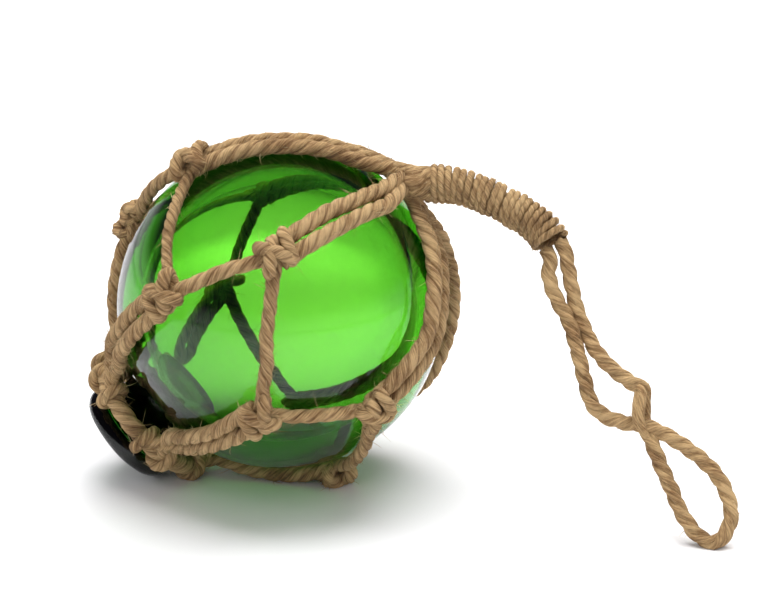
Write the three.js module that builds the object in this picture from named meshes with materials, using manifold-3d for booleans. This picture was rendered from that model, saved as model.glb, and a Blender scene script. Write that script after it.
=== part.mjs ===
// A glass fishing float in a knotted jute net, lying loose with its hanging loop beside it.
// Millimetres, +Z up. The float's axis lies in the XZ plane: the seal is low on -X, the gather high on +X.
import * as THREE from "three";
import { mergeVertices } from "three/addons/utils/BufferGeometryUtils.js";
import Module from "manifold-3d";

const wasm = await Module();
wasm.setup();

// ---- driving dimensions ----
const GLASS_RADIUS = 50;
const AXIS_ELEVATION = 41; // degrees that the axis from the seal to the gather rises
const RESTING_HEIGHT = 55.05; // the ball's centre above the surface it lies on

const SEAL_RADIUS = 16.6; // the dark glass button that closes the blow hole
const SEAL_FACE = 66.5; // its outer face, from the ball's centre
const SEAL_THICKNESS = 6;
const NECK_RADIUS = 13.5;

const ROPE_RADIUS = 2.6; // the net's jute rope
const ROPE_SIDES = 6;
const ROPE_STEP = 11; // length of one straight facet of rope
const NET_GAP = 0.6; // between the net and the glass
const NET_RADIUS = GLASS_RADIUS + NET_GAP + ROPE_RADIUS; // where a rope's middle lies
const PAIR_SPREAD = 2.75; // each rope of a pair from the pair's middle
const UPPER_SHOULDER = 68; // latitude where an upper pair leaves the glass for the gather
const LOWER_SHOULDER = -60; // latitude where a lower pair leaves the glass for the ring
const ARC_STEPS = 4; // facets of a rope between two knots
const BUNDLE_TWIST = 18; // degrees round the bundle from a pair's middle to each of its ropes
const BUNDLE_RUN = 5; // the last straight of a rope before the whipping

const RING_RADIUS = 19.5; // the rope ring round the seal's neck
const RING_LEVEL = 55; // its plane, from the ball's centre towards the seal
const RING_ROPE_RADIUS = 2.9;
const RING_SIDES = 8;
const RING_STEPS = 28;
const HITCH_RADIUS = 3.6; // a turn of a pair's hitch round the ring
const HITCH_ROPE_RADIUS = 1.9;
const HITCH_ANGLE = 11; // degrees round the ring from a pair's middle to each turn
const HITCH_SIDES = 5;
const HITCH_STEPS = 9;

// The five upper knots gather pairs of ropes, the five lower knots tie them to the ring. Azimuths turn
// about the axis, 0 on -Y and 90 downwards on +X; latitudes rise from the equator to the gather. A pair
// sways by degrees of azimuth on its way to the gather, and its hitch is where a lower pair meets the ring.
const UPPER_KNOTS = [
  { azimuth: -148, latitude: 14, sway: 0 },
  { azimuth: -81, latitude: 12, sway: 0 },
  { azimuth: -26, latitude: 22, sway: 0 },
  { azimuth: 38, latitude: 10, sway: 10 },
  { azimuth: 123, latitude: -30, sway: -20 },
];
const LOWER_KNOTS = [
  { azimuth: -112, latitude: -22, hitch: -112 },
  { azimuth: -39, latitude: -14, hitch: -60 },
  { azimuth: 11, latitude: -15, hitch: 13 },
  { azimuth: 79, latitude: -22, hitch: 88 },
  { azimuth: -170, latitude: -25, hitch: -170 },
];
// A knot's outline along its pair of ropes: a round body, then the turn of rope that binds the pair.
const KNOT_OUTLINE = [
  [-6, 0],
  [-5.2, 3],
  [-2.8, 5],
  [0, 5.6],
  [1.8, 4.8],
  [3, 5.6],
  [4.2, 5.9],
  [5.4, 5.6],
  [6.4, 3.6],
  [6.4, 0],
];
const KNOT_SIDES = 9;
const KNOT_SQUASH = 0.75; // height over width, because the knot lies flat on the glass
const KNOT_LIFT = NET_GAP + 4.4; // its middle above the glass

const WHIPPING_RADIUS = 5.7;
const WHIPPING_TURNS = 20;
const WHIPPING_GROOVE = 0.45; // depth between two turns
const WHIPPING_BULGE = 0.5; // extra radius at the first and last turns
const WHIPPING_BULGE_RATE = 9; // how fast the bulge fades along the length
const WHIPPING_SIDES = 10;
const WHIPPING_STEPS = 64; // places along its curve where its frame is worked out
const WHIPPING_ROUTE = [
  [45, -5, 40],
  [53, -6, 39.5],
  [62, -8, 37],
  [72, -11, 32.5],
  [79, -14.5, 28],
  [81.5, -16.5, 24.5],
];

const LOOP_ROPE_RADIUS = 2.25;
const LOOP_SIDES = 8;
const LOOP_STEP = 6; // length of one straight facet of its tube
const LOOP_EXIT = 3; // how far each leg runs on in the whipping's direction
const LOOP_LEG_SPREAD = 2.5; // each leg from the whipping's middle where both leave it
const LOOP_JOIN = 0.38; // share of the loop where its two tubes meet, away from where it crosses itself
const LOOP_LAP = 0.004; // share by which the two tubes overlap there
// The loop from the whipping down its left leg, round the fold on the surface and up its right leg.
const LOOP_ROUTE = [
  [80.5, -20.5, 15.5],
  [83, -23, 9],
  [86, -25, 4],
  [89, -30, -5],
  [91, -33, -13],
  [93, -35.5, -19],
  [97, -37, -22.5],
  [103, -40, -23.5],
  [108, -42, -23.5],
  [114, -44, -25.5],
  [120, -47, -28.5],
  [125, -49, -32],
  [129, -51.5, -36],
  [132, -54, -42],
  [132.5, -56, -46.5],
  [130.5, -58, -51.3],
  [127.5, -58.5, -53.6],
  [123, -56.5, -52],
  [118.5, -53, -46.5],
  [115.5, -50, -40],
  [112, -47, -32.5],
  [109.5, -44, -26.5],
  [107.5, -42, -22],
  [107.5, -40, -17.5],
  [107.5, -38, -13.5],
  [104, -36, -12],
  [99, -33, -9],
  [94.5, -29, -5],
  [91.5, -25.5, 0],
  [89, -22.5, 6],
  [87.5, -20.5, 12],
  [86.5, -19, 17],
];

const PIECE_GAP = 0.35; // between neighbouring pieces
const GLASS_SIDES = 40; // facets round the glass
const CLEARANCE_SIDES = 64; // facets round the space that the net leaves for it
const GLASS_STEPS = 18; // facets from the neck to the far pole
const RIM_STEPS = 6; // facets round the seal's rim
const NECK_LENGTH = 1; // of the plain neck behind the seal
const GROUND_WIDTH = 400; // of the block that cuts the flat spots
const GROUND_DEPTH = 40;

// ---- directions on the ball ----
const elevation = THREE.MathUtils.degToRad(AXIS_ELEVATION);
const AXIS = new THREE.Vector3(Math.cos(elevation), 0, Math.sin(elevation));
const FRONT = new THREE.Vector3(0, -1, 0);
const DOWNWARD = new THREE.Vector3().crossVectors(AXIS, FRONT);

// A unit vector from the ball's centre.
function direction(azimuth, latitude) {
  const a = THREE.MathUtils.degToRad(azimuth);
  const l = THREE.MathUtils.degToRad(latitude);
  return new THREE.Vector3()
    .addScaledVector(FRONT, Math.cos(l) * Math.cos(a))
    .addScaledVector(DOWNWARD, Math.cos(l) * Math.sin(a))
    .addScaledVector(AXIS, Math.sin(l));
}

// The directions from one unit vector to another, by equal angles, both ends included.
function greatArc(from, to, steps) {
  const turn = new THREE.Quaternion().setFromUnitVectors(from, to);
  const still = new THREE.Quaternion();
  return Array.from({ length: steps + 1 }, (_, i) =>
    from.clone().applyQuaternion(still.clone().slerp(turn, i / steps)),
  );
}

const vectors = (points) => points.map((p) => new THREE.Vector3(...p));

// ---- solids ----
function toSolid(geometry) {
  const bare = geometry.clone();
  bare.deleteAttribute("normal");
  bare.deleteAttribute("uv");
  const merged = mergeVertices(bare, 1e-4);
  return new wasm.Manifold(
    new wasm.Mesh({
      numProp: 3,
      vertProperties: new Float32Array(merged.attributes.position.array),
      triVerts: new Uint32Array(merged.index.array),
    }),
  );
}

function toGeometry(solid) {
  const mesh = solid.getMesh();
  return new THREE.BufferGeometry()
    .setAttribute("position", new THREE.BufferAttribute(mesh.vertProperties, 3))
    .setIndex(new THREE.BufferAttribute(mesh.triVerts, 1));
}

const union = (geometries) => geometries.map(toSolid).reduce((a, b) => a.add(b));

// Takes away what would sink into the surface, which leaves the flat spots that the float rests on.
function flattened(solid) {
  const ground = new THREE.BoxGeometry(GROUND_WIDTH, GROUND_WIDTH, GROUND_DEPTH);
  ground.translate(0, 0, -RESTING_HEIGHT - GROUND_DEPTH / 2);
  return solid.subtract(toSolid(ground));
}

function roundSection(radius, sides) {
  const corners = Array.from({ length: sides }, (_, i) => {
    const a = (2 * Math.PI * i) / sides;
    return new THREE.Vector2(radius * Math.cos(a), radius * Math.sin(a));
  });
  return new THREE.Shape(corners);
}

function tube(curve, radius, sides, step) {
  return new THREE.ExtrudeGeometry(roundSection(radius, sides), {
    steps: Math.max(3, Math.round(curve.getLength() / step)),
    extrudePath: curve,
    bevelEnabled: false,
  });
}

const rope = (points) =>
  tube(new THREE.CatmullRomCurve3(points, false, "centripetal"), ROPE_RADIUS, ROPE_SIDES, ROPE_STEP);

// Part of a curve, by shares of its length.
class Stretch extends THREE.Curve {
  constructor(whole, from, to) {
    super();
    this.whole = whole;
    this.from = from;
    this.to = to;
  }

  getPoint(t, target = new THREE.Vector3()) {
    return this.whole.getPointAt(THREE.MathUtils.lerp(this.from, this.to, t), target);
  }
}

// Lays a straight solid of revolution, made along +Z from 0 to length, along a curve.
function bent(geometry, curve, length) {
  const frames = curve.computeFrenetFrames(WHIPPING_STEPS, false);
  const position = geometry.attributes.position;
  for (let i = 0; i < position.count; i += 1) {
    const along = THREE.MathUtils.clamp(position.getZ(i) / length, 0, 1);
    const near = Math.round(along * WHIPPING_STEPS);
    const point = curve
      .getPointAt(along)
      .addScaledVector(frames.normals[near], position.getX(i))
      .addScaledVector(frames.binormals[near], position.getY(i));
    position.setXYZ(i, point.x, point.y, point.z);
  }
  return geometry;
}

function arc(centre, radius, from, to, steps) {
  return Array.from({ length: steps + 1 }, (_, i) => {
    const a = THREE.MathUtils.degToRad(from + ((to - from) * i) / steps);
    return new THREE.Vector2(centre.x + radius * Math.cos(a), centre.y + radius * Math.sin(a));
  });
}

// ---- the glass ----
// Sphere, neck and seal are one piece of glass, solid here because the float is sealed.
function glassBall() {
  const rim = SEAL_THICKNESS / 2;
  const rimCentre = new THREE.Vector2(SEAL_RADIUS - rim, -SEAL_FACE + rim);
  const neckAngle = THREE.MathUtils.radToDeg(Math.asin(NECK_RADIUS / GLASS_RADIUS));
  const profile = [
    new THREE.Vector2(0, -SEAL_FACE),
    ...arc(rimCentre, rim, -90, 90, RIM_STEPS),
    new THREE.Vector2(NECK_RADIUS, -SEAL_FACE + SEAL_THICKNESS + NECK_LENGTH),
    ...arc(new THREE.Vector2(), GLASS_RADIUS, neckAngle - 90, 90, GLASS_STEPS),
  ];
  profile.at(-1).x = 0;
  const lathe = new THREE.LatheGeometry(profile, GLASS_SIDES);
  return lathe.rotateX(Math.PI / 2).rotateY(Math.PI / 2 - elevation);
}

// ---- the net ----
const knotDirection = ({ azimuth, latitude }) => direction(azimuth, latitude);

const onNet = (unit) => unit.clone().multiplyScalar(NET_RADIUS);

// Where a pair of ropes lies side by side on the glass: the pair's middle moved across by side.
function besidePair(units, side) {
  return units.map((unit, i) => {
    const ahead = units[Math.min(i + 1, units.length - 1)];
    const behind = units[Math.max(i - 1, 0)];
    const across = ahead.clone().sub(behind).cross(unit).normalize();
    return onNet(unit).addScaledVector(across, side * PAIR_SPREAD);
  });
}

const whippingCurve = new THREE.CatmullRomCurve3(vectors(WHIPPING_ROUTE), false, "centripetal");
const whippingStart = whippingCurve.getPointAt(0);
const whippingHeading = whippingCurve.getTangentAt(0);
const GATHER = whippingStart.clone().addScaledVector(whippingHeading, -PIECE_GAP);

// One rope's place in the bundle that enters the whipping.
function bundlePlace(azimuth, side, back) {
  const up = new THREE.Vector3().crossVectors(whippingHeading, FRONT).normalize();
  const across = new THREE.Vector3().crossVectors(up, whippingHeading);
  const a = THREE.MathUtils.degToRad(azimuth + side * BUNDLE_TWIST);
  const reach = WHIPPING_RADIUS - ROPE_RADIUS - PIECE_GAP;
  return GATHER.clone()
    .addScaledVector(whippingHeading, -back)
    .addScaledVector(across, -reach * Math.cos(a))
    .addScaledVector(up, reach * Math.sin(a));
}

// The pair of ropes from an upper knot over the glass to the gather.
function upperPair(knot) {
  const start = knotDirection(knot);
  const shoulder = direction(knot.azimuth + knot.sway, UPPER_SHOULDER);
  const middle = direction(knot.azimuth + knot.sway, (knot.latitude + UPPER_SHOULDER) / 2);
  const steps = ARC_STEPS - 1;
  const units = [...greatArc(start, middle, steps), ...greatArc(middle, shoulder, steps).slice(1)];
  return [-1, 1].map((side) => {
    const bundle = [BUNDLE_RUN, 0].map((back) => bundlePlace(knot.azimuth, side, back));
    return rope([...besidePair(units, side), ...bundle]);
  });
}

const ringCentre = AXIS.clone().multiplyScalar(-RING_LEVEL);

function ringPlace(azimuth) {
  return ringCentre.clone().addScaledVector(direction(azimuth, 0), RING_RADIUS);
}

// The pair of ropes from a lower knot to its hitch on the ring.
function lowerPair(knot) {
  const units = greatArc(knotDirection(knot), direction(knot.hitch, LOWER_SHOULDER), ARC_STEPS);
  return [-1, 1].map((side) => {
    const hitch = ringPlace(knot.hitch + side * HITCH_ANGLE);
    return rope([...besidePair(units, side), hitch]);
  });
}

function ring() {
  const torus = new THREE.TorusGeometry(RING_RADIUS, RING_ROPE_RADIUS, RING_SIDES, RING_STEPS);
  torus.rotateY(Math.PI / 2 - elevation);
  return torus.translate(ringCentre.x, ringCentre.y, ringCentre.z);
}

// The two turns of a pair's hitch round the ring.
function hitches(azimuth) {
  return [-HITCH_ANGLE, HITCH_ANGLE].map((side) => {
    const turn = new THREE.TorusGeometry(HITCH_RADIUS, HITCH_ROPE_RADIUS, HITCH_SIDES, HITCH_STEPS);
    const along = direction(azimuth + side + 90, 0);
    turn.applyQuaternion(new THREE.Quaternion().setFromUnitVectors(new THREE.Vector3(0, 0, 1), along));
    return turn.translate(...ringPlace(azimuth + side).toArray());
  });
}

// A single rope that lies straight over the glass between two knots.
function single(from, to) {
  return rope(greatArc(knotDirection(from), knotDirection(to), ARC_STEPS).map(onNet));
}

// Turns a shape made round the origin, its length on +X and its height on +Z, to lie on the glass.
function laidOnGlass(geometry, unit, heading, lift) {
  const out = unit.clone();
  const along = heading.clone().addScaledVector(out, -heading.dot(out)).normalize();
  const across = new THREE.Vector3().crossVectors(out, along);
  const place = new THREE.Matrix4().makeBasis(along, across, out);
  place.setPosition(out.clone().multiplyScalar(GLASS_RADIUS + lift));
  return geometry.applyMatrix4(place);
}

// A knot whose bound end faces the gather where pole is 1, and the ring where it is -1.
function knotBody(knot, pole) {
  const outline = KNOT_OUTLINE.map(([along, radius]) => new THREE.Vector2(radius, along));
  const body = new THREE.LatheGeometry(outline, KNOT_SIDES).rotateZ(-Math.PI / 2).scale(1, 1, KNOT_SQUASH);
  return laidOnGlass(body, knotDirection(knot), AXIS.clone().multiplyScalar(pole), KNOT_LIFT);
}

function net() {
  const shapes = [ring()];
  UPPER_KNOTS.forEach((upper, i) => {
    const lower = LOWER_KNOTS[i];
    const previous = LOWER_KNOTS.at(i - 1);
    shapes.push(...upperPair(upper), ...lowerPair(lower), ...hitches(lower.hitch));
    shapes.push(single(lower, upper), single(previous, upper));
    shapes.push(knotBody(upper, 1), knotBody(lower, -1));
  });
  const clear = GLASS_RADIUS + PIECE_GAP;
  const space = toSolid(new THREE.SphereGeometry(clear, CLEARANCE_SIDES, CLEARANCE_SIDES / 2));
  return toGeometry(flattened(union(shapes).subtract(space)));
}

// ---- the whipping ----
// Close turns of thin rope over the gathered ropes, as one ridged sleeve bent along its curve.
function whipping() {
  const length = whippingCurve.getLength();
  const profile = [new THREE.Vector2(0, 0)];
  for (let i = 0; i <= 2 * WHIPPING_TURNS; i += 1) {
    const along = i / (2 * WHIPPING_TURNS);
    const fade = Math.exp(-along * WHIPPING_BULGE_RATE) + Math.exp((along - 1) * WHIPPING_BULGE_RATE);
    const groove = i % 2 === 0 ? WHIPPING_GROOVE : 0;
    const radius = WHIPPING_RADIUS - groove + WHIPPING_BULGE * fade;
    profile.push(new THREE.Vector2(radius, along * length));
  }
  profile.push(new THREE.Vector2(0, length));
  const sleeve = new THREE.LatheGeometry(profile, WHIPPING_SIDES).rotateX(Math.PI / 2);
  return bent(sleeve, whippingCurve, length);
}

// ---- the hanging loop ----
function hangingLoop() {
  const exit = whippingCurve.getPointAt(1);
  const heading = whippingCurve.getTangentAt(1);
  const across = new THREE.Vector3(1, 0, 0).addScaledVector(heading, -heading.x).normalize();
  const start = (side, ahead) =>
    exit
      .clone()
      .addScaledVector(heading, ahead)
      .addScaledVector(across, side * LOOP_LEG_SPREAD);
  const route = [
    start(-1, PIECE_GAP),
    start(-1, LOOP_EXIT),
    ...vectors(LOOP_ROUTE),
    start(1, LOOP_EXIT),
    start(1, PIECE_GAP),
  ];
  const whole = new THREE.CatmullRomCurve3(route, false, "centripetal");
  const halves = [new Stretch(whole, 0, LOOP_JOIN), new Stretch(whole, LOOP_JOIN - LOOP_LAP, 1)];
  const tubes = halves.map((half) => tube(half, LOOP_ROPE_RADIUS, LOOP_SIDES, LOOP_STEP));
  return toGeometry(flattened(union(tubes)));
}

// ---- the object ----
function piece(name, geometry, color, roughness) {
  geometry.computeVertexNormals();
  const mesh = new THREE.Mesh(geometry, new THREE.MeshStandardMaterial({ color, roughness, metalness: 0 }));
  mesh.name = name;
  return mesh;
}

const body = new THREE.Group();
body.add(
  piece("glass_ball", glassBall(), 0x3fae2a, 0.05),
  piece("net", net(), 0xa8825a, 0.95),
  piece("whipping", whipping(), 0xa8825a, 0.95),
);
const box = new THREE.Box3().setFromObject(body);
const middle = box.getCenter(new THREE.Vector3());

const float = new THREE.Group();
float.add(body, piece("hanging_loop", hangingLoop(), 0xa07c4c, 0.95));
float.position.set(-middle.x, -middle.y, -box.min.z);

export default float;
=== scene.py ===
"""A green glass float in a knotted jute net, lying on a pale surface with its hanging loop beside it.

Metres, +Z up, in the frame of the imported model. The float's axis lies in the XZ plane and runs from the
seal, low on -X, up to the gather of the net on +X. Shapes are worked out from the ball's centre."""

import math

import bpy
import numpy as np
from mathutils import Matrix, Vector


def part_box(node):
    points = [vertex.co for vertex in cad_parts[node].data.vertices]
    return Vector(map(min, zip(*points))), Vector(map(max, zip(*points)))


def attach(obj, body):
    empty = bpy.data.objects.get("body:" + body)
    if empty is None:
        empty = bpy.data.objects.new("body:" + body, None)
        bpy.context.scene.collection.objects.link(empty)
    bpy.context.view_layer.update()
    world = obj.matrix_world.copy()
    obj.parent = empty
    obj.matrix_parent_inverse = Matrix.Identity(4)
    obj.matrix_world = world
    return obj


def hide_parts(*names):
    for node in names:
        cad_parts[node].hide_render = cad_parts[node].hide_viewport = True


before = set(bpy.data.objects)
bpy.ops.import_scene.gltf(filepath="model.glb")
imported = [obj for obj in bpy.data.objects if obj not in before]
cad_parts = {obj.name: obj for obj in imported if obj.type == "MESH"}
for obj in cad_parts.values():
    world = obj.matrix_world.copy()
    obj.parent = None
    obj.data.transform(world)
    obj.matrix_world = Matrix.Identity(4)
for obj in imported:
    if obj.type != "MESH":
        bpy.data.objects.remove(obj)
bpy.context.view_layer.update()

# ---- sizes, in metres and degrees ----
GLASS_RADIUS = 0.050
GLASS_WALL = 0.0075
AXIS_ELEVATION = 41
RESTING_HEIGHT = 0.05505

SEAL_RADIUS = 0.0166
SEAL_FACE = 0.0665
SEAL_THICKNESS = 0.006
SEAL_DISH = 0.001
NECK_RADIUS = 0.0135
NECK_WAIST = 0.001  # how much the neck narrows half way
NECK_END = 0.93  # where it meets the ball, as a share of the ball's radius
PLUG_PAST_WALL = 0.0006  # how far the plug reaches into the hollow
PLUG_BEVEL = 0.001

NET_GAP = 0.0006
PAIR_ROPE = 0.0025  # radius of each rope of a pair
SINGLE_ROPE = 0.0022
THIN_ROPE = 0.0018  # the one single rope that is thinner and twisted tight
PAIR_SPREAD = 0.00265
UPPER_SHOULDER = 68
LOWER_SHOULDER = -60
ROPE_PITCH = 0.016  # length of one turn of its plies
ROPE_GROOVE = 0.2  # depth of the grooves between plies, as a share of the radius
THIN_PITCH = 0.009
THIN_SINGLE = 1  # the place of the thin rope's upper knot in the list
TURN_PITCH = 0.010
BUNDLE_TWIST = 18
BUNDLE_BACKS = (0.005, 0, -0.004)  # where a rope's last points lie behind the gather
PAIR_ARC_STEPS = 3
ARC_STEPS = 4

RING_RADIUS = 0.0195
RING_LEVEL = 0.055
RING_ROPE = 0.0029
HITCH_RADIUS = 0.0037
HITCH_ROPE = 0.0019
HITCH_ANGLE = 11
HITCH_LEAN = 0.0012
RING_STEPS = 122
TURN_STEPS = 36

# The part's own knots: azimuth about the axis, latitude towards the gather,
# how far a pair sways on its way up, and the azimuth of its hitch on the ring.
UPPER_KNOTS = [
    dict(azimuth=-148, latitude=14, sway=0),
    dict(azimuth=-81, latitude=12, sway=0),
    dict(azimuth=-26, latitude=22, sway=0),
    dict(azimuth=38, latitude=10, sway=10),
    dict(azimuth=123, latitude=-30, sway=-20),
]
LOWER_KNOTS = [
    dict(azimuth=-112, latitude=-22, hitch=-112),
    dict(azimuth=-39, latitude=-14, hitch=-60),
    dict(azimuth=11, latitude=-15, hitch=13),
    dict(azimuth=79, latitude=-22, hitch=88),
    dict(azimuth=-170, latitude=-25, hitch=-170),
]
# The turns that bind a knot: place along the pair, tilt, half width, half height and radius of the rope.
KNOT_TURNS = [
    dict(along=0.0041, tilt=0.0012, width=0.0041, height=0.0025, rope=0.0019),
    dict(along=-0.0002, tilt=-0.0026, width=0.0042, height=0.0026, rope=0.0021),
    dict(along=-0.0018, tilt=0.0030, width=0.0036, height=0.0024, rope=0.0021),
]
KNOT_LIFT = 0.0050
KNOT_CHANCE = 0.0004  # how unevenly its turns lean

WHIPPING_RADIUS = 0.0057
WHIPPING_TURNS = 21
TWINE_RADIUS = 0.00115
TWINE_OVERLAP = 0.0004
TWINE_STEPS = 40  # places along each turn
WHIPPING_BARE = 0.012  # share of the length left bare at each end
WHIPPING_BULGE = 0.0005
WHIPPING_BULGE_RATE = 9
WHIPPING_ROUTE = [
    (0.045, -0.005, 0.040),
    (0.053, -0.006, 0.0395),
    (0.062, -0.008, 0.037),
    (0.072, -0.011, 0.0325),
    (0.079, -0.0145, 0.028),
    (0.0815, -0.0165, 0.0245),
]

LOOP_DIAMETER = 0.0045
LOOP_LEG_SPREAD = 0.0025
LOOP_EXIT = 0.003  # how far each leg runs on in the whipping's direction
LOOP_ROUTE = [
    (0.0805, -0.0205, 0.0155),
    (0.083, -0.023, 0.009),
    (0.086, -0.025, 0.004),
    (0.089, -0.030, -0.005),
    (0.091, -0.033, -0.013),
    (0.093, -0.0355, -0.019),
    (0.097, -0.037, -0.0225),
    (0.103, -0.040, -0.0235),
    (0.108, -0.042, -0.0235),
    (0.114, -0.044, -0.0255),
    (0.120, -0.047, -0.0285),
    (0.125, -0.049, -0.032),
    (0.129, -0.0515, -0.036),
    (0.132, -0.054, -0.042),
    (0.1325, -0.056, -0.0465),
    (0.1305, -0.058, -0.0513),
    (0.1275, -0.0585, -0.0536),
    (0.123, -0.0565, -0.052),
    (0.1185, -0.053, -0.0465),
    (0.1155, -0.050, -0.040),
    (0.112, -0.047, -0.0325),
    (0.1095, -0.044, -0.0265),
    (0.1075, -0.042, -0.022),
    (0.1075, -0.040, -0.0175),
    (0.1075, -0.038, -0.0135),
    (0.104, -0.036, -0.012),
    (0.099, -0.033, -0.009),
    (0.0945, -0.029, -0.005),
    (0.0915, -0.0255, 0.0),
    (0.089, -0.0225, 0.006),
    (0.0875, -0.0205, 0.012),
    (0.0865, -0.019, 0.017),
]
EYE_PLACE = (0.1077, -0.041, -0.0195)  # where the right leg's plies stand apart round the left leg
EYE_LENGTH = 0.0155
EYE_SPREAD = 0.0023
EYE_STAGGER = 0.0007
EYE_DIRECTION = np.array([-0.62, -0.78, 0.0])
EYE_ACROSS = np.array([0.78, -0.62, 0.0])
EYE_PLIES = [  # two plies stand to one side of the eye and the third to the other
    EYE_DIRECTION * EYE_SPREAD - EYE_ACROSS * EYE_STAGGER,
    EYE_DIRECTION * EYE_SPREAD + EYE_ACROSS * EYE_STAGGER,
    EYE_DIRECTION * -EYE_SPREAD,
]
LOOP_PLY = 0.62  # radius of one of the loop's plies, as a share of the rope's
LOOP_PLY_SPREAD = 1.2

PIECE_GAP = 0.00035

FIBRE_RADIUS = 0.0001
FIBRE_ROOT = 0.8  # where a fibre starts, as a share of its rope's radius
FIBRE_RISE = (12, 75)  # the least and most degrees that a fibre stands off its rope
FIBRE_BEND = 0.7
FIBRE_TAPER = 0.7
FIBRE_CLEARANCE = 0.0002
RIPPLE_WAVES = 9

# ---- directions on the ball ----
_elevation = math.radians(AXIS_ELEVATION)
AXIS = np.array([math.cos(_elevation), 0.0, math.sin(_elevation)])
FRONT = np.array([0.0, -1.0, 0.0])
DOWNWARD = np.cross(AXIS, FRONT)

glass_low, glass_high = (np.array(corner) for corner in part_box("glass_ball"))
CENTRE = np.array([glass_high[0] - GLASS_RADIUS, (glass_low[1] + glass_high[1]) / 2, RESTING_HEIGHT])


def direction(azimuth, latitude):
    """A unit vector from the ball's centre."""
    a = math.radians(azimuth)
    lift = math.radians(latitude)
    flat = math.cos(a) * FRONT + math.sin(a) * DOWNWARD
    return math.cos(lift) * flat + math.sin(lift) * AXIS


def unit(vectors):
    """The vectors, each at length 1."""
    return vectors / np.linalg.norm(vectors, axis=-1, keepdims=True)


def great_arc(start, end, steps):
    """Directions from one unit vector to another by equal angles, both ends included."""
    angle = math.acos(float(np.clip(start @ end, -1, 1)))
    shares = np.linspace(0, 1, steps + 1)[:, None]
    return (np.sin((1 - shares) * angle) * start + np.sin(shares * angle) * end) / math.sin(angle)


# ---- paths ----
def evenly(points, spacing):
    """A polyline's points moved to an even spacing."""
    points = np.asarray(points, float)
    along = np.concatenate([[0], np.cumsum(np.linalg.norm(np.diff(points, axis=0), axis=1))])
    count = max(3, round(along[-1] / spacing)) + 1
    places = np.linspace(0, along[-1], count)
    return np.stack([np.interp(places, along, points[:, k]) for k in range(3)], axis=1)


def smooth(points, spacing):
    """A centripetal Catmull-Rom curve through the points, as evenly spaced places."""
    p = np.asarray(points, float)
    p = np.vstack([2 * p[0] - p[1], p, 2 * p[-1] - p[-2]])
    knots = np.concatenate([[0], np.cumsum(np.sqrt(np.linalg.norm(np.diff(p, axis=0), axis=1)))])
    rows = []
    for i in range(1, len(p) - 2):
        t = np.linspace(knots[i], knots[i + 1], 16, endpoint=False)[:, None]
        t0, t1, t2, t3 = knots[i - 1 : i + 3]
        a1 = (t1 - t) / (t1 - t0) * p[i - 1] + (t - t0) / (t1 - t0) * p[i]
        a2 = (t2 - t) / (t2 - t1) * p[i] + (t - t1) / (t2 - t1) * p[i + 1]
        a3 = (t3 - t) / (t3 - t2) * p[i + 1] + (t - t2) / (t3 - t2) * p[i + 2]
        b1 = (t2 - t) / (t2 - t0) * a1 + (t - t0) / (t2 - t0) * a2
        b2 = (t3 - t) / (t3 - t1) * a2 + (t - t1) / (t3 - t1) * a3
        rows.append((t2 - t) / (t2 - t1) * b1 + (t - t1) / (t2 - t1) * b2)
    rows.append(p[-2:-1])
    return evenly(np.vstack(rows), spacing)


def tangents(path, closed=False):
    """The direction of a path at each of its points."""
    if closed:
        return unit(np.roll(path, -1, axis=0) - np.roll(path, 1, axis=0))
    return unit(np.gradient(path, axis=0))


def carried_normals(path):
    """Normals that turn with an open path and never spin about it."""
    heading = tangents(path)
    start = np.cross(heading[0], (0.31, 0.17, 0.94))
    normals = [start / np.linalg.norm(start)]
    for ahead in heading[1:]:
        normal = normals[-1] - ahead * (normals[-1] @ ahead)
        normals.append(normal / np.linalg.norm(normal))
    return np.array(normals)


def normals_towards(path, outward, closed=False):
    """Normals of a path that lean towards the outward vectors."""
    heading = tangents(path, closed)
    return unit(outward - heading * np.sum(outward * heading, axis=1, keepdims=True))


# ---- meshes ----
class Weave:
    """Vertices and faces of the ropes that make up one piece, with what its material reads from them."""

    def __init__(self):
        self.points, self.faces, self.fibres, self.grooves, self.count = [], [], [], [], 0

    def add(self, points, faces, fibres, grooves):
        self.points.append(points)
        self.faces.extend([[v + self.count for v in face] for face in faces])
        self.fibres.append(fibres)
        self.grooves.append(grooves)
        self.count += len(points)

    def piece(self, name, material):
        """The finished Blender object, riding on the float's one body."""
        mesh = bpy.data.meshes.new(name)
        points = np.vstack(self.points)
        points[:, 2] = np.maximum(points[:, 2], 0)  # pressed flat where it lies on the surface
        mesh.from_pydata(points.tolist(), [], self.faces)
        fibre = mesh.attributes.new("fibre", "FLOAT_VECTOR", "POINT")
        fibre.data.foreach_set("vector", np.vstack(self.fibres).astype(np.float32).ravel())
        groove = mesh.attributes.new("groove", "FLOAT", "POINT")
        groove.data.foreach_set("value", np.concatenate(self.grooves).astype(np.float32))
        mesh.polygons.foreach_set("use_smooth", [True] * len(mesh.polygons))
        mesh.materials.append(material)
        obj = bpy.data.objects.new(name, mesh)
        bpy.context.collection.objects.link(obj)
        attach(obj, "root")
        return obj


random_numbers = np.random.default_rng(7)
strands = []  # every rope's path, radius and normals, for the stray fibres


def tube_faces(rings, sides, closed):
    """Quads between the rings of a tube, and the two ends of an open one."""
    faces = []
    for i in range(rings if closed else rings - 1):
        a, b = i * sides, ((i + 1) % rings) * sides
        for j in range(sides):
            k = (j + 1) % sides
            faces.append([a + j, a + k, b + k, b + j])
    if not closed:
        faces.append(list(range(sides))[::-1])
        faces.append(list(range((rings - 1) * sides, rings * sides)))
    return faces


def unevenness(count, wave, amount):
    """A slow random change about 0 along a path of count points."""
    knots = random_numbers.normal(0, amount, max(4, int(count / wave) + 3))
    return np.interp(np.linspace(0, len(knots) - 1, count), np.arange(len(knots)), knots)


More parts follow.
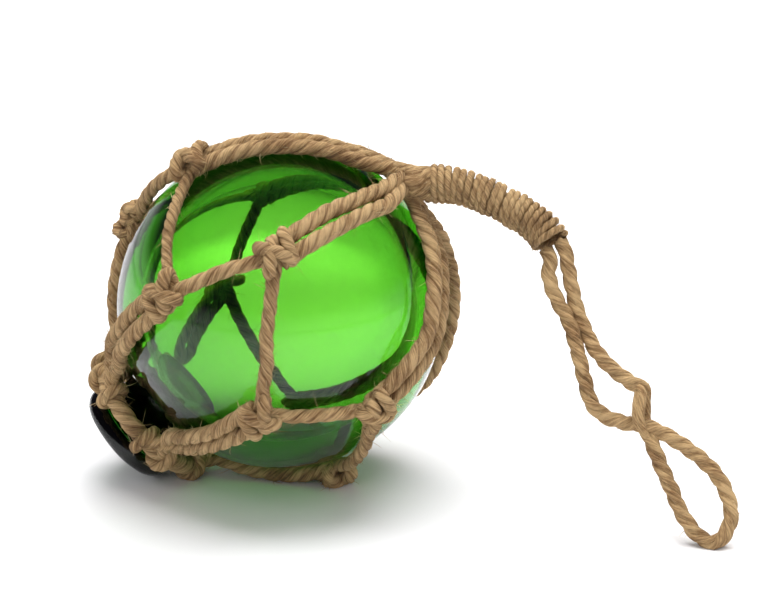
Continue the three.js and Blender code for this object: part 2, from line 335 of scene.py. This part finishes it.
def lay(weave, path, radius, normals, closed=False, pitch=ROPE_PITCH, plies=3, groove=ROPE_GROOVE, sides=24):
    """Adds a laid rope: one tube whose section is the outline of its plies and turns along the path."""
    heading = tangents(path, closed)
    across = np.cross(heading, normals)
    steps = np.linalg.norm(np.diff(path, axis=0), axis=1)
    along = np.concatenate([[0], np.cumsum(steps)])
    whole = along[-1] + (np.linalg.norm(path[0] - path[-1]) if closed else 0)
    turns = max(1, round(whole / pitch)) if closed else whole / pitch
    turn = random_numbers.uniform(0, 6.28) - 2 * math.pi * turns * along / whole
    round_rope = np.linspace(0, 2 * math.pi, sides, endpoint=False)
    crest = np.abs(np.cos(plies * round_rope / 2)) ** 0.8
    swell = unevenness(len(path), 8, 0.025)
    if closed:
        swell = np.zeros(len(path))  # a closed turn has to meet itself
    reach = np.outer(radius * (1 + swell), 1 - groove + groove * crest)
    angle = turn[:, None] + round_rope[None, :]
    points = (
        path[:, None, :]
        + (reach * np.cos(angle))[..., None] * normals[:, None, :]
        + (reach * np.sin(angle))[..., None] * across[:, None, :]
    )
    fibre_angle = round_rope[None, :] - 0.25 * turn[:, None]
    fibres = np.stack(
        [
            radius * np.cos(fibre_angle),
            radius * np.sin(fibre_angle),
            np.repeat(along[:, None], sides, axis=1) * 0.14,
        ],
        axis=-1,
    ) + random_numbers.uniform(0, 1, 3)
    # How deep each point lies between the plies; the jute material darkens these grooves as painted shade.
    grooves = np.tile(1 - crest, len(path))
    weave.add(points.reshape(-1, 3), tube_faces(len(path), sides, closed), fibres.reshape(-1, 3), grooves)
    strands.append((weave, path, heading, radius))


def place_on_ball(points):
    """Points about the ball's centre moved to where the ball lies."""
    return np.asarray(points) + CENTRE


# ---- the net ----
STEP = 0.001


def beside_pair(units, side, radius):
    """A pair's directions moved across to where one of its ropes lies on the glass."""
    across = unit(np.cross(np.gradient(units, axis=0), units))
    return units * (GLASS_RADIUS + NET_GAP + radius) + across * side * PAIR_SPREAD


def on_ball_rope(weave, points, radius, **laid):
    """A rope over the glass through points about the ball's centre, with a little slack here and there."""
    path = smooth(points, STEP)
    outward = unit(path)
    share = np.linspace(0, 1, len(path))
    sway = unevenness(len(path), 12, 0.0003) * np.sin(math.pi * share)
    path = path + np.cross(tangents(path), outward) * sway[:, None]
    lay(weave, place_on_ball(path), radius, normals_towards(path, outward), **laid)


WHIPPING_PATH = smooth(WHIPPING_ROUTE, 0.0005)
WHIPPING_HEADING = tangents(WHIPPING_PATH)
GATHER = WHIPPING_PATH[0] - WHIPPING_HEADING[0] * PIECE_GAP


def bundle_place(azimuth, side, back):
    """One rope's place in the bundle that enters the whipping."""
    up = unit(np.cross(WHIPPING_HEADING[0], FRONT))
    across = np.cross(up, WHIPPING_HEADING[0])
    a = math.radians(azimuth + side * BUNDLE_TWIST)
    reach = WHIPPING_RADIUS - PAIR_ROPE - PIECE_GAP
    return GATHER - WHIPPING_HEADING[0] * back - across * reach * math.cos(a) + up * reach * math.sin(a)


def upper_pair(weave, knot):
    """The two ropes from an upper knot over the glass to the gather."""
    start = direction(knot["azimuth"], knot["latitude"])
    middle = direction(knot["azimuth"] + knot["sway"], (knot["latitude"] + UPPER_SHOULDER) / 2)
    shoulder = direction(knot["azimuth"] + knot["sway"], UPPER_SHOULDER)
    rise = great_arc(start, middle, PAIR_ARC_STEPS)
    units = np.vstack([rise, great_arc(middle, shoulder, PAIR_ARC_STEPS)[1:]])
    for side in (-1, 1):
        bundle = [bundle_place(knot["azimuth"], side, back) for back in BUNDLE_BACKS]
        on_ball_rope(weave, np.vstack([beside_pair(units, side, PAIR_ROPE), bundle]), PAIR_ROPE)


def ring_place(azimuth):
    """A place on the ring's middle line, from the ball's centre."""
    return -AXIS * RING_LEVEL + direction(azimuth, 0) * RING_RADIUS


def lower_pair(weave, knot):
    """The two ropes from a lower knot to the ring."""
    start = direction(knot["azimuth"], knot["latitude"])
    units = great_arc(start, direction(knot["hitch"], LOWER_SHOULDER), ARC_STEPS)
    for side in (-1, 1):
        end = ring_place(knot["hitch"] + side * HITCH_ANGLE)
        on_ball_rope(weave, np.vstack([beside_pair(units, side, PAIR_ROPE), [end]]), PAIR_ROPE)


def ring(weave):
    """The closed rope ring round the seal's neck."""
    azimuths = np.arange(0, 360, 360 / RING_STEPS)
    path = np.array([ring_place(a) for a in azimuths])
    outward = np.array([direction(a, 0) for a in azimuths])
    lay(weave, place_on_ball(path), RING_ROPE, outward, closed=True)


def closed_turn(weave, centre, first, second, lean, rope):
    """A closed turn of rope: an ellipse about centre, with half axes first and second, leaning by lean."""
    t = np.linspace(0, 2 * math.pi, TURN_STEPS, endpoint=False)[:, None]
    outward = np.cos(t) * first + np.sin(t) * second
    path = centre + outward + np.cos(t) * lean
    normals = normals_towards(path, outward, True)
    lay(weave, place_on_ball(path), rope, normals, closed=True, pitch=TURN_PITCH)


def hitches(weave, azimuth):
    """The turns of a pair's hitch round the ring."""
    for side in (-HITCH_ANGLE, HITCH_ANGLE):
        centre = ring_place(azimuth + side)
        outward = direction(azimuth + side, 0)
        along = direction(azimuth + side + 90, 0)
        lean = along * HITCH_LEAN * math.copysign(1, side)
        closed_turn(weave, centre, outward * HITCH_RADIUS, AXIS * HITCH_RADIUS, lean, HITCH_ROPE)


def single(weave, start, end, radius, **laid):
    """A single rope that lies straight over the glass between two knots."""
    first = direction(start["azimuth"], start["latitude"])
    last = direction(end["azimuth"], end["latitude"])
    units = great_arc(first, last, ARC_STEPS)
    on_ball_rope(weave, units * (GLASS_RADIUS + NET_GAP + radius), radius, **laid)


def knot_turns(weave, knot, pole):
    """The turns that bind a knot. Pole is 1 where its pair runs to the gather, and -1 to the ring."""
    outward = direction(knot["azimuth"], knot["latitude"])
    along = unit(pole * (AXIS - outward * (AXIS @ outward)))
    across = np.cross(outward, along)
    for turn in KNOT_TURNS:
        lean = along * (turn["tilt"] + random_numbers.normal(0, KNOT_CHANCE))
        centre = outward * (GLASS_RADIUS + KNOT_LIFT) + along * turn["along"]
        closed_turn(weave, centre, across * turn["width"], outward * turn["height"], lean, turn["rope"])


# ---- the whipping and the loop ----
def whipping(weave):
    """Close turns of twine wound round the rope ends."""
    share = np.linspace(0, 1, len(WHIPPING_PATH))
    normals = carried_normals(WHIPPING_PATH)
    across = np.cross(WHIPPING_HEADING, normals)
    core = WHIPPING_RADIUS - 2 * TWINE_RADIUS + TWINE_OVERLAP
    lay(weave, place_on_ball(WHIPPING_PATH[4:-4:4]), core, normals[4:-4:4], groove=0.1, sides=16)
    places = np.linspace(WHIPPING_BARE, 1 - WHIPPING_BARE, WHIPPING_TURNS * TWINE_STEPS)
    angle = 2 * math.pi * WHIPPING_TURNS * places
    middle = np.stack([np.interp(places, share, WHIPPING_PATH[:, k]) for k in range(3)], axis=1)
    normal = unit(np.stack([np.interp(places, share, normals[:, k]) for k in range(3)], axis=1))
    side = unit(np.stack([np.interp(places, share, across[:, k]) for k in range(3)], axis=1))
    ends = np.exp(-places * WHIPPING_BULGE_RATE) + np.exp((places - 1) * WHIPPING_BULGE_RATE)
    bulge = WHIPPING_BULGE * ends
    reach = WHIPPING_RADIUS - TWINE_RADIUS + bulge + unevenness(len(places), 30, 0.00012)
    outward = np.cos(angle)[:, None] * normal + np.sin(angle)[:, None] * side
    slip = unevenness(len(places), 25, 0.00018)[:, None] * np.cross(normal, side)
    path = middle + outward * reach[:, None] + slip
    normals = normals_towards(path, outward)
    lay(weave, place_on_ball(path), TWINE_RADIUS, normals, pitch=0.006, plies=2, sides=14, groove=0.25)


def loop_path():
    """The loop's middle line from the whipping's end and back to it."""
    heading = WHIPPING_HEADING[-1]
    across = unit(np.array([1.0, 0.0, 0.0]) - heading * heading[0])
    start = {
        (side, ahead): WHIPPING_PATH[-1] + heading * ahead + across * side * LOOP_LEG_SPREAD
        for side in (-1, 1)
        for ahead in (PIECE_GAP, LOOP_EXIT)
    }
    first = [start[-1, PIECE_GAP], start[-1, LOOP_EXIT]]
    last = [start[1, LOOP_EXIT], start[1, PIECE_GAP]]
    return place_on_ball(smooth([*first, *LOOP_ROUTE, *last], 0.0007))


def hanging_loop(weave, path):
    """A three-ply rope whose plies stand apart where the other leg is tucked through them."""
    normals = carried_normals(path)
    heading = tangents(path)
    across = np.cross(heading, normals)
    along = np.concatenate([[0], np.cumsum(np.linalg.norm(np.diff(path, axis=0), axis=1))])
    late = np.arange(len(path)) > len(path) / 2
    distance = np.linalg.norm(path - place_on_ball(EYE_PLACE), axis=1)
    eye = along[np.argmin(np.where(late, distance, 1.0))]
    opening = np.clip(1 - (2 * (along - eye) / EYE_LENGTH) ** 2, 0, 1) ** 0.7
    ply = LOOP_DIAMETER / 2 * LOOP_PLY
    reach = (LOOP_DIAMETER / 2 - ply) * LOOP_PLY_SPREAD * (1 - opening)[:, None]
    for k, apart in enumerate(EYE_PLIES):
        angle = 2 * math.pi * (k / 3 - along / ROPE_PITCH)
        twisted = np.cos(angle)[:, None] * normals + np.sin(angle)[:, None] * across
        middle = path + twisted * reach + opening[:, None] * apart
        lay(weave, middle, ply, carried_normals(middle), pitch=0.02, plies=5, groove=0.12, sides=15)


# ---- the glass ----
def half_circle(radius, steps):
    """A sphere's profile from pole to pole, as (radius, height on the axis)."""
    around = np.linspace(-math.pi / 2, math.pi / 2, steps)
    return list(zip(radius * np.cos(around), radius * np.sin(around)))


def seal_profile():
    """The button that closes the blow hole, with its neck and the plug that it fills in the wall."""
    rim = SEAL_THICKNESS / 2
    flat = SEAL_RADIUS - rim
    dish = [(r, -SEAL_FACE + SEAL_DISH * (1 - (r / flat) ** 2)) for r in np.linspace(0, flat, 16)]
    around = np.radians(np.linspace(-90, 90, 25))
    edge = [(flat + rim * math.cos(a), -SEAL_FACE + rim + rim * math.sin(a)) for a in around]
    inside = -(GLASS_RADIUS - GLASS_WALL - PLUG_PAST_WALL)
    waist = np.linspace(-SEAL_FACE + SEAL_THICKNESS, -GLASS_RADIUS * NECK_END, 8)
    neck = [(NECK_RADIUS - NECK_WAIST * math.sin(math.pi * k / 7), z) for k, z in enumerate(waist)]
    plug = [(NECK_RADIUS * 0.97, inside - PLUG_BEVEL), (NECK_RADIUS * 0.85, inside), (0, inside)]
    return dish + edge[1:] + neck + plug


def spin(profile, sides, inward):
    """A closed surface of revolution about the float's axis. The profile starts and ends on the axis."""
    azimuths = np.arange(sides) * 360 / sides
    flat = np.array([direction(a, 0) for a in azimuths])
    rows = profile[1:-1]
    around = [r * f + AXIS * z for r, z in rows for f in flat]
    points = [AXIS * profile[0][1], *around, AXIS * profile[-1][1]]
    faces = []
    last = len(points) - 1
    for j in range(sides):
        k = (j + 1) % sides
        faces.append([0, 1 + k, 1 + j])
        for i in range(len(rows) - 1):
            a, b = 1 + i * sides, 1 + (i + 1) * sides
            faces.append([a + j, a + k, b + k, b + j])
        top = 1 + (len(rows) - 1) * sides
        faces.append([top + j, top + k, last])
    if inward:
        faces = [face[::-1] for face in faces]
    return np.array(points), faces


def ripples(points, amount, scale):
    """The slow waves of hand-blown glass, along each point's own direction from the centre."""
    out = unit(points)
    waves = np.zeros(len(points))
    for _ in range(RIPPLE_WAVES):
        course = random_numbers.normal(0, scale, 3)
        waves += np.sin(out @ course + random_numbers.uniform(0, 6.28))
    return points + out * (waves * amount / math.sqrt(RIPPLE_WAVES))[:, None]


def glass_float(material):
    """The hollow glass, as an outer and an inner surface in one mesh."""
    outer, outer_faces = spin(half_circle(GLASS_RADIUS, steps=150), sides=160, inward=False)
    inner, inner_faces = spin(half_circle(GLASS_RADIUS - GLASS_WALL, steps=120), sides=128, inward=True)
    outer = ripples(outer, 0.00006, 5)
    inner = ripples(inner, 0.00018, 4)
    mesh = bpy.data.meshes.new("glass_float")
    faces = outer_faces + [[v + len(outer) for v in face] for face in inner_faces]
    mesh.from_pydata(place_on_ball(np.vstack([outer, inner])).tolist(), [], faces)
    mesh.polygons.foreach_set("use_smooth", [True] * len(mesh.polygons))
    mesh.materials.append(material)
    obj = bpy.data.objects.new("glass_float", mesh)
    bpy.context.collection.objects.link(obj)
    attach(obj, "root")
    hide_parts("glass_ball")


def glass_seal(material):
    """The thick glass of the seal, nearly black because so little light gets through it."""
    points, faces = spin(seal_profile(), sides=120, inward=False)
    mesh = bpy.data.meshes.new("glass_seal")
    mesh.from_pydata(place_on_ball(ripples(points, 0.00008, 30)).tolist(), [], faces)
    mesh.polygons.foreach_set("use_smooth", [True] * len(mesh.polygons))
    mesh.materials.append(material)
    obj = bpy.data.objects.new("glass_seal", mesh)
    bpy.context.collection.objects.link(obj)
    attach(obj, "root")
    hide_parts("glass_ball")


# ---- stray fibres ----
def stray_fibres(name, weave, material, per_metre, longest):
    """Thin tapered hairs that stand off the ropes of one piece, mostly along them."""
    rings, sides = 3, 3
    points, faces = [], []
    for owner, path, heading, rope in strands:
        if owner is not weave:
            continue
        length = np.sum(np.linalg.norm(np.diff(path, axis=0), axis=1))
        count = int(length * per_metre)
        for i in random_numbers.integers(0, len(path), count):
            along = heading[i] * random_numbers.choice((-1, 1))
            away = random_numbers.normal(0, 1, 3)
            away = unit(away - along * (away @ along))
            root = path[i] + away * rope * FIBRE_ROOT
            rise = math.radians(random_numbers.uniform(*FIBRE_RISE))
            aim = along * math.cos(rise) + away * math.sin(rise)
            reach = longest * random_numbers.beta(1.3, 3.5)
            bend = unit(random_numbers.normal(0, 1, 3)) * random_numbers.uniform(0, FIBRE_BEND)
            share = np.linspace(0, 1, rings + 1)[:, None]
            middle = root + reach * (share * aim + share**2 * bend)
            from_centre = middle - CENTRE
            far = np.linalg.norm(from_centre, axis=1, keepdims=True)
            middle = CENTRE + from_centre / far * np.maximum(far, GLASS_RADIUS + FIBRE_CLEARANCE)
            middle[:, 2] = np.maximum(middle[:, 2], FIBRE_CLEARANCE)
            first = unit(np.cross(aim, bend + (0.1, 0.2, 0.3)))
            second = np.cross(unit(aim), first)
            base = len(points)
            for r in range(rings):
                thin = FIBRE_RADIUS * (1 - FIBRE_TAPER * r / rings)
                for s in range(sides):
                    a = 2 * math.pi * s / sides
                    points.append(middle[r] + thin * (math.cos(a) * first + math.sin(a) * second))
            points.append(middle[rings])
            tip = base + rings * sides
            faces.append([base + 2, base + 1, base])
            for s in range(sides):
                t = (s + 1) % sides
                for r in range(rings - 1):
                    a, b = base + r * sides, base + (r + 1) * sides
                    faces.append([a + s, a + t, b + t, b + s])
                faces.append([tip - sides + s, tip - sides + t, tip])
    hair = Weave()
    points = np.array(points)
    hair.add(points, faces, points, np.zeros(len(points)))
    obj = hair.piece(name, material)
    return obj


# ---- materials ----
JUTE_PALE = (0.74, 0.50, 0.25)
JUTE_BROWN = (0.42, 0.245, 0.11)
JUTE_DARK = (0.14, 0.062, 0.028)
GREEN_DENSITY = 250  # how strongly the ball's glass absorbs light
SEAL_DENSITY = 1500


def new_material(name):
    """An empty node material, its tree and its output node."""
    material = bpy.data.materials.new(name)
    material.use_nodes = True
    tree = material.node_tree
    tree.nodes.clear()
    output = tree.nodes.new("ShaderNodeOutputMaterial")
    return material, tree, output


def node(tree, kind, **values):
    """A new node, with values for its own settings or its input sockets."""
    made = tree.nodes.new(kind)
    for name, value in values.items():
        if hasattr(made, name):
            setattr(made, name, value)
        else:
            made.inputs[name.replace("_", " ")].default_value = value
    return made


def ramp(tree, source, *stops):
    """A colour ramp with (place, colour) stops."""
    made = tree.nodes.new("ShaderNodeValToRGB")
    while len(made.color_ramp.elements) < len(stops):
        made.color_ramp.elements.new(0.5)
    for element, (place, colour) in zip(made.color_ramp.elements, stops):
        element.position = place
        element.color = (*colour, 1)
    tree.links.new(source, made.inputs["Fac"])
    return made.outputs["Color"]


def jute_material():
    """Fibres as long streaks along each rope, browner in patches, with painted shade darkening the grooves
    between the plies.
    """
    material, tree, output = new_material("jute")
    link = tree.links.new
    shader = node(tree, "ShaderNodeBsdfPrincipled", Roughness=0.92)
    shader.inputs["Specular IOR Level"].default_value = 0.18
    shader.inputs["Sheen Weight"].default_value = 0.25
    shader.inputs["Sheen Roughness"].default_value = 0.5
    shader.inputs["Sheen Tint"].default_value = (0.9, 0.72, 0.45, 1)
    fibre = node(tree, "ShaderNodeAttribute", attribute_name="fibre")
    groove = node(tree, "ShaderNodeAttribute", attribute_name="groove")
    place = node(tree, "ShaderNodeTexCoord")
    streaks = node(tree, "ShaderNodeTexNoise", Scale=1500, Detail=5, Roughness=0.72)
    fine = node(tree, "ShaderNodeTexNoise", Scale=5200, Detail=2, Roughness=0.6)
    patches = node(tree, "ShaderNodeTexNoise", Scale=95, Detail=3, Roughness=0.6)
    link(fibre.outputs["Vector"], streaks.inputs["Vector"])
    link(fibre.outputs["Vector"], fine.inputs["Vector"])
    link(place.outputs["Object"], patches.inputs["Vector"])
    tone = node(tree, "ShaderNodeMath", operation="MULTIPLY_ADD")
    tone.inputs[1].default_value = 0.6
    link(streaks.outputs["Fac"], tone.inputs[0])
    half = node(tree, "ShaderNodeMath", operation="MULTIPLY")
    half.inputs[1].default_value = 0.4
    link(patches.outputs["Fac"], half.inputs[0])
    link(half.outputs[0], tone.inputs[2])
    colour = ramp(tree, tone.outputs[0], (0.36, JUTE_DARK), (0.46, JUTE_BROWN), (0.56, JUTE_PALE))
    # Painted shade: the colour is multiplied darker in the grooves between the plies, where shade falls.
    shade = node(tree, "ShaderNodeMix", data_type="RGBA", blend_type="MULTIPLY")
    painted_groove_shade = ramp(tree, groove.outputs["Fac"], (0.35, (1, 1, 1)), (1.0, (0.42, 0.32, 0.27)))
    shade.inputs["Factor"].default_value = 0.85
    link(colour, shade.inputs["A"])
    link(painted_groove_shade, shade.inputs["B"])
    link(shade.outputs["Result"], shader.inputs["Base Color"])
    relief = node(tree, "ShaderNodeMath", operation="ADD")
    link(streaks.outputs["Fac"], relief.inputs[0])
    link(fine.outputs["Fac"], relief.inputs[1])
    bump = node(tree, "ShaderNodeBump", Strength=1.0, Distance=0.0009)
    link(relief.outputs[0], bump.inputs["Height"])
    link(bump.outputs["Normal"], shader.inputs["Normal"])
    link(shader.outputs["BSDF"], output.inputs["Surface"])
    return material


def hair_material():
    """The loose fibres, paler than the rope."""
    material, tree, output = new_material("jute_hair")
    shader = node(tree, "ShaderNodeBsdfPrincipled", Roughness=0.8)
    place = node(tree, "ShaderNodeTexCoord")
    noise = node(tree, "ShaderNodeTexNoise", Scale=300, Detail=1)
    tree.links.new(place.outputs["Object"], noise.inputs["Vector"])
    colour = ramp(tree, noise.outputs["Fac"], (0.35, (0.33, 0.2, 0.09)), (0.65, (0.66, 0.5, 0.28)))
    tree.links.new(colour, shader.inputs["Base Color"])
    tree.links.new(shader.outputs["BSDF"], output.inputs["Surface"])
    return material


def glass_material(name, density):
    """Clear glass coloured through its thickness. Lamps shine through it, so it throws a green shadow."""
    material, tree, output = new_material(name)
    link = tree.links.new
    shader = node(tree, "ShaderNodeBsdfPrincipled", Roughness=0.0, IOR=1.5)
    shader.inputs["Base Color"].default_value = (1, 1, 1, 1)
    shader.inputs["Transmission Weight"].default_value = 1.0
    clear = node(tree, "ShaderNodeBsdfTransparent", Color=(0.75, 0.82, 0.74, 1))
    rays = node(tree, "ShaderNodeLightPath")
    mix = node(tree, "ShaderNodeMixShader")
    link(rays.outputs["Is Shadow Ray"], mix.inputs[0])
    link(shader.outputs["BSDF"], mix.inputs[1])
    link(clear.outputs["BSDF"], mix.inputs[2])
    link(mix.outputs["Shader"], output.inputs["Surface"])
    tint = node(tree, "ShaderNodeVolumeAbsorption", Color=(0.40, 0.78, 0.06, 1), Density=density)
    link(tint.outputs["Volume"], output.inputs["Volume"])
    return material


def floor_material():
    """The plain pale surface that the float lies on."""
    material, tree, output = new_material("pale_floor")
    shader = node(tree, "ShaderNodeBsdfPrincipled", Roughness=0.6)
    shader.inputs["Base Color"].default_value = (0.86, 0.86, 0.87, 1)
    tree.links.new(shader.outputs["BSDF"], output.inputs["Surface"])
    return material


# ---- the studio ----
CAMERA_FROM_CENTRE = (0.03206, -0.71263, 0.23380)
CAMERA_PITCH = 72
CAMERA_LENS = 114.2  # in mm, for a sensor 36 mm wide
PATCH_LAMP_HEIGHT = 0.5
PATCH_LAMP_BEHIND = 0.12
SURFACE_REACH = 3
# Soft pools of light behind the ball: place from its centre, radius and power.
PATCHES = [
    (-0.070, 0.300, 0.060, 14.0),
    (-0.030, 0.345, 0.035, 9.0),
    (0.015, 0.280, 0.090, 11.0),
    (0.045, 0.115, 0.080, 9.0),
]


def camera():
    """The camera, level from side to side and looking down on the float."""
    data = bpy.data.cameras.new("camera")
    data.sensor_width = 36
    data.lens = CAMERA_LENS
    data.clip_start = 0.01
    obj = bpy.data.objects.new("camera", data)
    obj.location = CENTRE + CAMERA_FROM_CENTRE
    obj.rotation_euler = (math.radians(CAMERA_PITCH), 0, 0)
    bpy.context.collection.objects.link(obj)
    bpy.context.scene.camera = obj


def area_light(name, size, power, place, aim):
    """A soft rectangular light that mirrors and glass don't show."""
    data = bpy.data.lights.new(name, "AREA")
    data.shape = "RECTANGLE"
    data.size, data.size_y = size
    data.energy = power
    obj = bpy.data.objects.new(name, data)
    obj.location = place
    towards = unit(np.array(aim, float) - np.array(place, float))
    pitch = math.acos(-towards[2])
    obj.rotation_euler = (pitch, 0, math.atan2(towards[1], towards[0]) - math.pi / 2)
    obj.visible_glossy = obj.visible_transmission = False
    bpy.context.collection.objects.link(obj)


def patch_light(x, y, radius, power):
    """A soft pool of light on the surface behind the ball, which shows as a bright patch in the glass."""
    data = bpy.data.lights.new("patch", "SPOT")
    data.energy = power
    data.spot_size = 2 * math.atan(radius / PATCH_LAMP_HEIGHT)
    data.spot_blend = 1.0
    data.shadow_soft_size = 0.03
    obj = bpy.data.objects.new("patch", data)
    obj.location = (x, y + PATCH_LAMP_BEHIND, PATCH_LAMP_HEIGHT)
    obj.rotation_euler = (-math.atan(PATCH_LAMP_BEHIND / PATCH_LAMP_HEIGHT), 0, 0)
    obj.visible_glossy = obj.visible_transmission = False
    bpy.context.collection.objects.link(obj)


def studio():
    """A pale seamless surface, pale surroundings that darken overhead, and two soft lights."""
    mesh = bpy.data.meshes.new("surface")
    reach = SURFACE_REACH
    corners = [(-reach, -reach, 0), (reach, -reach, 0), (reach, reach, 0), (-reach, reach, 0)]
    mesh.from_pydata(corners, [], [[0, 1, 2, 3]])
    mesh.materials.append(floor_material())
    surface = bpy.data.objects.new("surface", mesh)
    bpy.context.collection.objects.link(surface)
    area_light("key", (1.4, 1.4), 36, (0.12, 0.30, 1.4), (0.02, 0.1, 0.04))
    area_light("fill", (1.2, 0.8), 4, (-0.6, -1.1, 1.0), (0, 0, 0.04))
    for x, y, radius, power in PATCHES:
        patch_light(CENTRE[0] + x, CENTRE[1] + y, radius, power)
    world = bpy.data.worlds.new("studio")
    world.use_nodes = True
    tree = world.node_tree
    link = tree.links.new
    soft = tree.nodes["Background"]
    soft.inputs["Color"].default_value = (1, 1, 1, 1)
    soft.inputs["Strength"].default_value = 0.55
    room = node(tree, "ShaderNodeBackground")
    around = node(tree, "ShaderNodeTexCoord")
    split = node(tree, "ShaderNodeSeparateXYZ")
    link(around.outputs["Generated"], split.inputs["Vector"])
    colour = ramp(tree, split.outputs["Z"], (0.02, (0.8, 0.8, 0.8)), (0.20, (0.05, 0.045, 0.06)))
    link(colour, room.inputs["Color"])
    rays = node(tree, "ShaderNodeLightPath")
    mix = node(tree, "ShaderNodeMixShader")
    link(rays.outputs["Is Diffuse Ray"], mix.inputs[0])
    link(room.outputs["Background"], mix.inputs[1])
    link(soft.outputs["Background"], mix.inputs[2])
    link(mix.outputs["Shader"], tree.nodes["World Output"].inputs["Surface"])
    bpy.context.scene.world = world
    bpy.context.scene.view_settings.view_transform = "Standard"


# ---- the object ----
camera()
jute = jute_material()
hair = hair_material()

loop_weave = Weave()
path = loop_path()
hanging_loop(loop_weave, path)
loop = loop_weave.piece("loop_rope", jute)
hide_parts("hanging_loop")

glass_float(glass_material("green_glass", GREEN_DENSITY))
glass_seal(glass_material("seal_glass", SEAL_DENSITY))

pairs, singles, knots, binding = Weave(), Weave(), Weave(), Weave()
ring(knots)
for i, upper in enumerate(UPPER_KNOTS):
    lower, previous = LOWER_KNOTS[i], LOWER_KNOTS[i - 1]
    upper_pair(pairs, upper)
    lower_pair(pairs, lower)
    hitches(knots, lower["hitch"])
    if i == THIN_SINGLE:
        single(singles, lower, upper, THIN_ROPE, pitch=THIN_PITCH)
    else:
        single(singles, lower, upper, SINGLE_ROPE)
    single(singles, previous, upper, SINGLE_ROPE)
    knot_turns(knots, upper, 1)
    knot_turns(knots, lower, -1)
whipping(binding)

for weave, name, stands_for in (
    (pairs, "net_pairs", "net"),
    (singles, "net_singles", "net"),
    (knots, "net_knots_and_ring", "net"),
    (binding, "whipping_twine", "whipping"),
):
    obj = weave.piece(name, jute)
    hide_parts(stands_for)

stray_fibres("pair_hair", pairs, hair, 2200, 0.008)
stray_fibres("single_hair", singles, hair, 1800, 0.006)
stray_fibres("knot_hair", knots, hair, 1400, 0.007)
stray_fibres("whipping_hair", binding, hair, 1600, 0.005)
loop_hair = stray_fibres("loop_hair", loop_weave, hair, 1500, 0.004)

studio()
